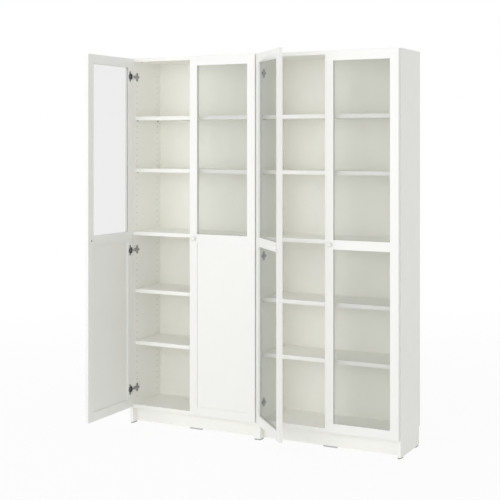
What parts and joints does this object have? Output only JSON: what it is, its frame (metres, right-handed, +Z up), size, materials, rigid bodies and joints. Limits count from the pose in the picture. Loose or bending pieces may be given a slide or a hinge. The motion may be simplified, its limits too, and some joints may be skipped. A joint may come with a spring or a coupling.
{
  "type": "bookcase with doors",
  "caption": "Tall white bookcases side by side, each with a pair of hinged framed doors over shelves; glass panes in the frames, with white panels low down on one case.",
  "frame": {"origin": "on the floor, in the plane of the carcass fronts, where the two cases meet; the floor_rest mount is on the glide beside it", "axes": "+X to the right seen from the front, +Y from the front to the back, +Z up"},
  "size_m": [1.618, 0.682, 2.04],
  "materials": {
    "white_board": "satin white foil on particle board",
    "white_frame": "satin white paint",
    "white_panel": "satin white paint on thin board",
    "back_sheet": "white paper foil on hardboard",
    "pane_glass": "clear float glass",
    "knob_white": "satin white",
    "hinge_nickel": "nickel plated steel",
    "fitting_zinc": "zinc die-casting",
    "pin_steel": "nickel plated steel",
    "bracket_steel": "white painted steel",
    "grey_plastic": "grey moulded plastic",
    "glide_plastic": "white moulded plastic"
  },
  "bodies": {
    "cases": {"left_case_left_side": "white_board", "left_case_right_side": "white_board", "left_case_top": "white_board", "left_case_fixed_shelf": "white_board", "left_case_floor": "white_board", "left_case_cam_locks": "fitting_zinc", "left_case_shelf_1": "white_board", "left_case_shelf_2": "white_board", "left_case_shelf_3": "white_board", "left_case_shelf_4": "white_board", "left_case_shelf_pins": "pin_steel", "left_case_back": "back_sheet", "left_case_plinth": "white_board", "left_case_plinth_foot": "grey_plastic", "left_case_glides": "glide_plastic", "left_case_wall_bracket": "bracket_steel", "right_case_left_side": "white_board", "right_case_right_side": "white_board", "right_case_top": "white_board", "right_case_fixed_shelf": "white_board", "right_case_floor": "white_board", "right_case_cam_locks": "fitting_zinc", "right_case_shelf_1": "white_board", "right_case_shelf_2": "white_board", "right_case_shelf_3": "white_board", "right_case_shelf_4": "white_board", "right_case_shelf_pins": "pin_steel", "right_case_back": "back_sheet", "right_case_plinth": "white_board", "right_case_plinth_foot": "grey_plastic", "right_case_glides": "glide_plastic", "right_case_wall_bracket": "bracket_steel", "door_1_hinge_arms": "hinge_nickel", "door_2_hinge_arms": "hinge_nickel", "door_3_hinge_arms": "hinge_nickel", "door_4_hinge_arms": "hinge_nickel"},
    "door_1": {"door_1_stiles": "white_frame", "door_1_rails": "white_frame", "door_1_upper_pane": "pane_glass", "door_1_lower_panel": "white_panel", "door_1_knob": "knob_white", "door_1_hinge_cups": "hinge_nickel"},
    "door_2": {"door_2_stiles": "white_frame", "door_2_rails": "white_frame", "door_2_upper_pane": "pane_glass", "door_2_lower_panel": "white_panel", "door_2_knob": "knob_white", "door_2_hinge_cups": "hinge_nickel"},
    "door_3": {"door_3_stiles": "white_frame", "door_3_rails": "white_frame", "door_3_upper_pane": "pane_glass", "door_3_lower_pane": "pane_glass", "door_3_knob": "knob_white", "door_3_hinge_cups": "hinge_nickel"},
    "door_4": {"door_4_stiles": "white_frame", "door_4_rails": "white_frame", "door_4_upper_pane": "pane_glass", "door_4_lower_pane": "pane_glass", "door_4_knob": "knob_white", "door_4_hinge_cups": "hinge_nickel"}
  },
  "joints": [
    {"name": "door_1_hinge", "type": "hinge", "parent": "cases", "child": "door_1", "pos_m": [-0.789, -0.014, 0.96], "axis": [0, 0, -1], "range_deg": [-90, 5]},
    {"name": "door_2_hinge", "type": "hinge", "parent": "cases", "child": "door_2", "pos_m": [-0.011, -0.014, 0.96], "axis": [0, 0, 1], "range_deg": [0, 85]},
    {"name": "door_3_hinge", "type": "hinge", "parent": "cases", "child": "door_3", "pos_m": [0.011, -0.014, 0.96], "axis": [0, 0, -1], "range_deg": [-45, 40]},
    {"name": "door_4_hinge", "type": "hinge", "parent": "cases", "child": "door_4", "pos_m": [0.789, -0.014, 0.96], "axis": [0, 0, 1], "range_deg": [0, 95]}
  ]
}
